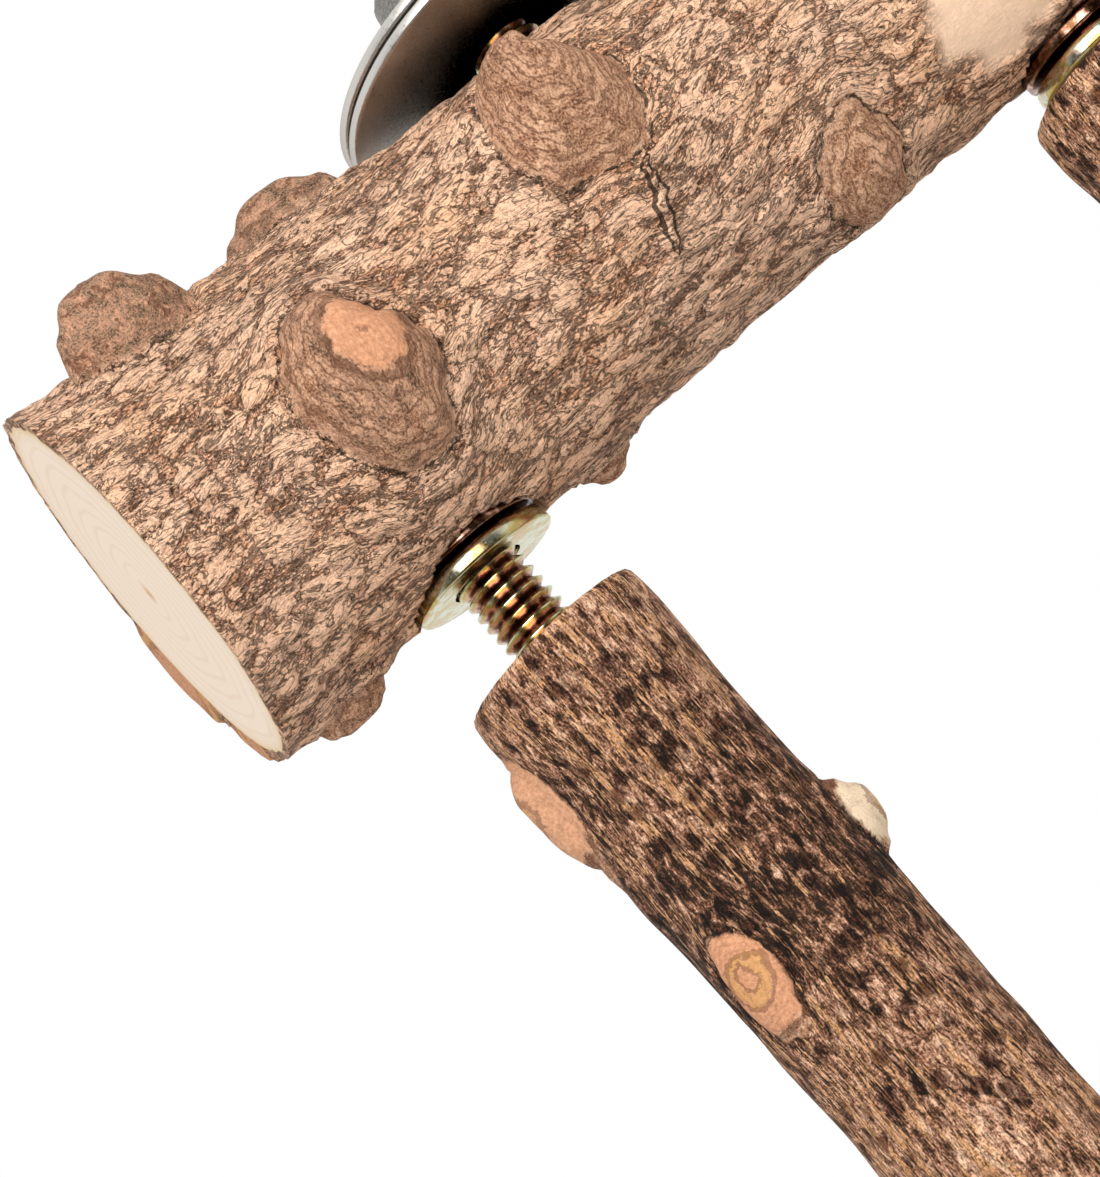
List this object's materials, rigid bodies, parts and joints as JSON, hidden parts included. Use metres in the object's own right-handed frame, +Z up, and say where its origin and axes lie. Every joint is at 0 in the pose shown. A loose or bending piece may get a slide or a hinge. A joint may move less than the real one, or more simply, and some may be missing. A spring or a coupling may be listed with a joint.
{
  "type": "bird ladder",
  "caption": "Natural branch bird ladder: knobby trunk with screw-in branch rungs on one side and washer-and-wing-nut clamps that grip a cage wall on the other.",
  "frame": {"origin": "centre of the upper clamp's inner washer, on the face that bears on the cage wires", "axes": "+Z up along the trunk, +Y along the clamp studs towards the cage wall; the rungs point towards -Y"},
  "size_m": [0.0775, 0.2238, 0.3045],
  "materials": {
    "trunk_bark": "rough bark with sawn ends",
    "rung_bark": "thin rough bark with sawn ends",
    "yellow_zinc": "yellow passivated zinc plate",
    "tumbled_steel": "plain tumbled steel",
    "cast_steel": "plain cast"
  },
  "bodies": {
    "trunk": {"trunk": "trunk_bark", "insert_nut_1": "yellow_zinc", "insert_nut_2": "yellow_zinc", "insert_nut_3": "yellow_zinc", "insert_nut_4": "yellow_zinc", "upper_clamp_stud": "yellow_zinc", "lower_clamp_stud": "yellow_zinc"},
    "washer_1": {"rung_washer_1": "yellow_zinc"},
    "rung_1": {"rung_1": "rung_bark", "rung_bolt_1": "yellow_zinc"},
    "washer_2": {"rung_washer_2": "yellow_zinc"},
    "rung_2": {"rung_2": "rung_bark", "rung_bolt_2": "yellow_zinc"},
    "washer_3": {"rung_washer_3": "yellow_zinc"},
    "rung_3": {"rung_3": "rung_bark", "rung_bolt_3": "yellow_zinc"},
    "washer_4": {"rung_washer_4": "yellow_zinc"},
    "rung_4": {"rung_4": "rung_bark", "rung_bolt_4": "yellow_zinc"},
    "upper_inner_washer": {"upper_inner_clamp_washer": "tumbled_steel"},
    "upper_outer_washer": {"upper_outer_clamp_washer": "tumbled_steel"},
    "upper_wing_nut": {"upper_wing_nut": "cast_steel"},
    "lower_inner_washer": {"lower_inner_clamp_washer": "tumbled_steel"},
    "lower_outer_washer": {"lower_outer_clamp_washer": "tumbled_steel"},
    "lower_wing_nut": {"lower_wing_nut": "cast_steel"}
  },
  "joints": [
    {"name": "rung_1_turn", "type": "hinge", "parent": "trunk", "child": "washer_1", "pos_m": [0, -0.0232, 0.0387], "axis": [-0.225, -0.9744, 0], "range_deg": [-2399, 715]},
    {"name": "rung_1_travel", "type": "slide", "parent": "washer_1", "child": "rung_1", "axis": [-0.225, -0.9744, 0], "range_m": [-0.0094, 0.0028]},
    {"name": "rung_2_turn", "type": "hinge", "parent": "trunk", "child": "washer_2", "pos_m": [0, -0.0232, -0.0448], "axis": [-0.1908, -0.9816, 0], "range_deg": [0, 3113]},
    {"name": "rung_2_travel", "type": "slide", "parent": "washer_2", "child": "rung_2", "axis": [-0.1908, -0.9816, 0], "range_m": [0, 0.0122]},
    {"name": "rung_3_turn", "type": "hinge", "parent": "trunk", "child": "washer_3", "pos_m": [0, -0.0232, -0.1283], "axis": [-0.2588, -0.9659, 0], "range_deg": [0, 3113]},
    {"name": "rung_3_travel", "type": "slide", "parent": "washer_3", "child": "rung_3", "axis": [-0.2588, -0.9659, 0], "range_m": [0, 0.0122]},
    {"name": "rung_4_turn", "type": "hinge", "parent": "trunk", "child": "washer_4", "pos_m": [0, -0.0232, -0.2118], "axis": [-0.2079, -0.9781, 0], "range_deg": [0, 3113]},
    {"name": "rung_4_travel", "type": "slide", "parent": "washer_4", "child": "rung_4", "axis": [-0.2079, -0.9781, 0], "range_m": [0, 0.0122]},
    {"name": "upper_inner_washer_slide", "type": "slide", "parent": "trunk", "child": "upper_inner_washer", "axis": [0, 1, 0], "range_m": [-0.0026, 0]},
    {"name": "upper_clamp_travel", "type": "slide", "parent": "trunk", "child": "upper_outer_washer", "axis": [0, 1, 0], "range_m": [0, 0.008]},
    {"name": "upper_wing_nut_turn", "type": "hinge", "parent": "upper_outer_washer", "child": "upper_wing_nut", "pos_m": [0, 0, 0], "axis": [0, 1, 0], "range_deg": [0, 2042]},
    {"name": "lower_inner_washer_slide", "type": "slide", "parent": "trunk", "child": "lower_inner_washer", "axis": [0, 1, 0], "range_m": [-0.0026, 0]},
    {"name": "lower_clamp_travel", "type": "slide", "parent": "trunk", "child": "lower_outer_washer", "axis": [0, 1, 0], "range_m": [-0.0022, 0.0058]},
    {"name": "lower_wing_nut_turn", "type": "hinge", "parent": "lower_outer_washer", "child": "lower_wing_nut", "pos_m": [0, 0, -0.1738], "axis": [0, 1, 0], "range_deg": [-562, 1480]}
  ],
  "couplings": [
    {"joint": "rung_1_turn", "follows": "rung_1_travel", "rad_per_m": 4453},
    {"joint": "rung_2_turn", "follows": "rung_2_travel", "rad_per_m": 4453},
    {"joint": "rung_3_turn", "follows": "rung_3_travel", "rad_per_m": 4453},
    {"joint": "rung_4_turn", "follows": "rung_4_travel", "rad_per_m": 4453},
    {"joint": "upper_wing_nut_turn", "follows": "upper_clamp_travel", "rad_per_m": 4453},
    {"joint": "lower_wing_nut_turn", "follows": "lower_clamp_travel", "rad_per_m": 4453}
  ]
}
